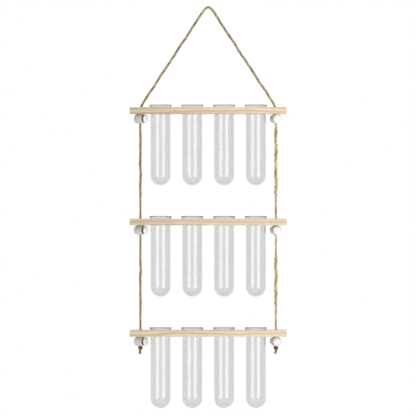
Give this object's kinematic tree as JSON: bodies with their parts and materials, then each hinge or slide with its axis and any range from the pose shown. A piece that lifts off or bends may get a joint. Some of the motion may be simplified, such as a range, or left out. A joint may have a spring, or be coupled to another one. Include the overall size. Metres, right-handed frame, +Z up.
{
  "type": "hanging test tube vase",
  "caption": "Hanging wall vase: wooden bars on a knotted jute cord carry rows of removable round-bottomed glass tubes, held at their heights by spring cord locks.",
  "frame": {"origin": "top of the hook, where it carries the cord", "axes": "+X along the bars to the right as seen from the room, +Y towards the wall, +Z up"},
  "size_m": [0.194, 0.038, 0.4987],
  "materials": {
    "pine": "sanded, unfinished pine with fine grain along the bar",
    "clear_glass": "clear polished glass",
    "jute": "twisted natural jute",
    "white_plastic": "moulded, semi-gloss",
    "spring_steel": "drawn wire"
  },
  "bodies": {
    "hanger": {"hanging_cord": "jute", "top_bar": "pine", "top_left_lock_body": "white_plastic", "top_left_lock_spring": "spring_steel", "top_right_lock_body": "white_plastic", "top_right_lock_spring": "spring_steel"},
    "top_left_plunger": {"top_left_lock_plunger": "white_plastic"},
    "top_right_plunger": {"top_right_lock_plunger": "white_plastic"},
    "top_tube_1": {"top_tube_1": "clear_glass"},
    "top_tube_2": {"top_tube_2": "clear_glass"},
    "top_tube_3": {"top_tube_3": "clear_glass"},
    "top_tube_4": {"top_tube_4": "clear_glass"},
    "middle_bar": {"middle_bar": "pine"},
    "middle_left_lock": {"middle_left_lock_body": "white_plastic", "middle_left_lock_spring": "spring_steel"},
    "middle_left_plunger": {"middle_left_lock_plunger": "white_plastic"},
    "middle_right_lock": {"middle_right_lock_body": "white_plastic", "middle_right_lock_spring": "spring_steel"},
    "middle_right_plunger": {"middle_right_lock_plunger": "white_plastic"},
    "middle_tube_1": {"middle_tube_1": "clear_glass"},
    "middle_tube_2": {"middle_tube_2": "clear_glass"},
    "middle_tube_3": {"middle_tube_3": "clear_glass"},
    "middle_tube_4": {"middle_tube_4": "clear_glass"},
    "bottom_bar": {"bottom_bar": "pine"},
    "bottom_left_lock": {"bottom_left_lock_body": "white_plastic", "bottom_left_lock_spring": "spring_steel"},
    "bottom_left_plunger": {"bottom_left_lock_plunger": "white_plastic"},
    "bottom_right_lock": {"bottom_right_lock_body": "white_plastic", "bottom_right_lock_spring": "spring_steel"},
    "bottom_right_plunger": {"bottom_right_lock_plunger": "white_plastic"},
    "bottom_tube_1": {"bottom_tube_1": "clear_glass"},
    "bottom_tube_2": {"bottom_tube_2": "clear_glass"},
    "bottom_tube_3": {"bottom_tube_3": "clear_glass"},
    "bottom_tube_4": {"bottom_tube_4": "clear_glass"}
  },
  "joints": [
    {"name": "top_left_plunger_press", "type": "slide", "parent": "hanger", "child": "top_left_plunger", "axis": [-0.866, 0.5, 0], "range_m": [0, 0.0022], "stiffness_N_per_m": 1500, "deforming": ["top_left_lock_spring"]},
    {"name": "top_right_plunger_press", "type": "slide", "parent": "hanger", "child": "top_right_plunger", "axis": [0.342, -0.9397, 0], "range_m": [0, 0.0022], "stiffness_N_per_m": 1500, "deforming": ["top_right_lock_spring"]},
    {"name": "top_tube_1_lift", "type": "slide", "parent": "hanger", "child": "top_tube_1", "axis": [0, 0, 1], "range_m": [0, 0.01]},
    {"name": "top_tube_2_lift", "type": "slide", "parent": "hanger", "child": "top_tube_2", "axis": [0, 0, 1], "range_m": [0, 0.07]},
    {"name": "top_tube_3_lift", "type": "slide", "parent": "hanger", "child": "top_tube_3", "axis": [0, 0, 1], "range_m": [0, 0.07]},
    {"name": "top_tube_4_lift", "type": "slide", "parent": "hanger", "child": "top_tube_4", "axis": [0, 0, 1], "range_m": [0, 0.01]},
    {"name": "middle_bar_slide", "type": "slide", "parent": "hanger", "child": "middle_bar", "axis": [0, 0, 1], "range_m": [-0.024, 0.024]},
    {"name": "middle_left_lock_slide", "type": "slide", "parent": "hanger", "child": "middle_left_lock", "axis": [0, 0, 1], "range_m": [-0.024, 0.024]},
    {"name": "middle_left_plunger_press", "type": "slide", "parent": "middle_left_lock", "child": "middle_left_plunger", "axis": [-0.866, 0.5, 0], "range_m": [0, 0.0022], "stiffness_N_per_m": 1500, "deforming": ["middle_left_lock_spring"]},
    {"name": "middle_right_lock_slide", "type": "slide", "parent": "hanger", "child": "middle_right_lock", "axis": [0, 0, 1], "range_m": [-0.024, 0.024]},
    {"name": "middle_right_plunger_press", "type": "slide", "parent": "middle_right_lock", "child": "middle_right_plunger", "axis": [0.342, -0.9397, 0], "range_m": [0, 0.0022], "stiffness_N_per_m": 1500, "deforming": ["middle_right_lock_spring"]},
    {"name": "middle_tube_1_lift", "type": "slide", "parent": "middle_bar", "child": "middle_tube_1", "axis": [0, 0, 1], "range_m": [0, 0.022]},
    {"name": "middle_tube_2_lift", "type": "slide", "parent": "middle_bar", "child": "middle_tube_2", "axis": [0, 0, 1], "range_m": [0, 0.022]},
    {"name": "middle_tube_3_lift", "type": "slide", "parent": "middle_bar", "child": "middle_tube_3", "axis": [0, 0, 1], "range_m": [0, 0.022]},
    {"name": "middle_tube_4_lift", "type": "slide", "parent": "middle_bar", "child": "middle_tube_4", "axis": [0, 0, 1], "range_m": [0, 0.022]},
    {"name": "bottom_bar_slide", "type": "slide", "parent": "hanger", "child": "bottom_bar", "axis": [0, 0, 1], "range_m": [0, 0.024]},
    {"name": "bottom_left_lock_slide", "type": "slide", "parent": "hanger", "child": "bottom_left_lock", "axis": [0, 0, 1], "range_m": [0, 0.024]},
    {"name": "bottom_left_plunger_press", "type": "slide", "parent": "bottom_left_lock", "child": "bottom_left_plunger", "axis": [-0.866, 0.5, 0], "range_m": [0, 0.0022], "stiffness_N_per_m": 1500, "deforming": ["bottom_left_lock_spring"]},
    {"name": "bottom_right_lock_slide", "type": "slide", "parent": "hanger", "child": "bottom_right_lock", "axis": [0, 0, 1], "range_m": [0, 0.024]},
    {"name": "bottom_right_plunger_press", "type": "slide", "parent": "bottom_right_lock", "child": "bottom_right_plunger", "axis": [0.342, -0.9397, 0], "range_m": [0, 0.0022], "stiffness_N_per_m": 1500, "deforming": ["bottom_right_lock_spring"]},
    {"name": "bottom_tube_1_lift", "type": "slide", "parent": "bottom_bar", "child": "bottom_tube_1", "axis": [0, 0, 1], "range_m": [0, 0.022]},
    {"name": "bottom_tube_2_lift", "type": "slide", "parent": "bottom_bar", "child": "bottom_tube_2", "axis": [0, 0, 1], "range_m": [0, 0.022]},
    {"name": "bottom_tube_3_lift", "type": "slide", "parent": "bottom_bar", "child": "bottom_tube_3", "axis": [0, 0, 1], "range_m": [0, 0.022]},
    {"name": "bottom_tube_4_lift", "type": "slide", "parent": "bottom_bar", "child": "bottom_tube_4", "axis": [0, 0, 1], "range_m": [0, 0.022]}
  ],
  "couplings": [
    {"joint": "middle_left_lock_slide", "follows": "middle_bar_slide", "ratio": 1},
    {"joint": "middle_right_lock_slide", "follows": "middle_bar_slide", "ratio": 1},
    {"joint": "bottom_left_lock_slide", "follows": "bottom_bar_slide", "ratio": 1},
    {"joint": "bottom_right_lock_slide", "follows": "bottom_bar_slide", "ratio": 1}
  ]
}
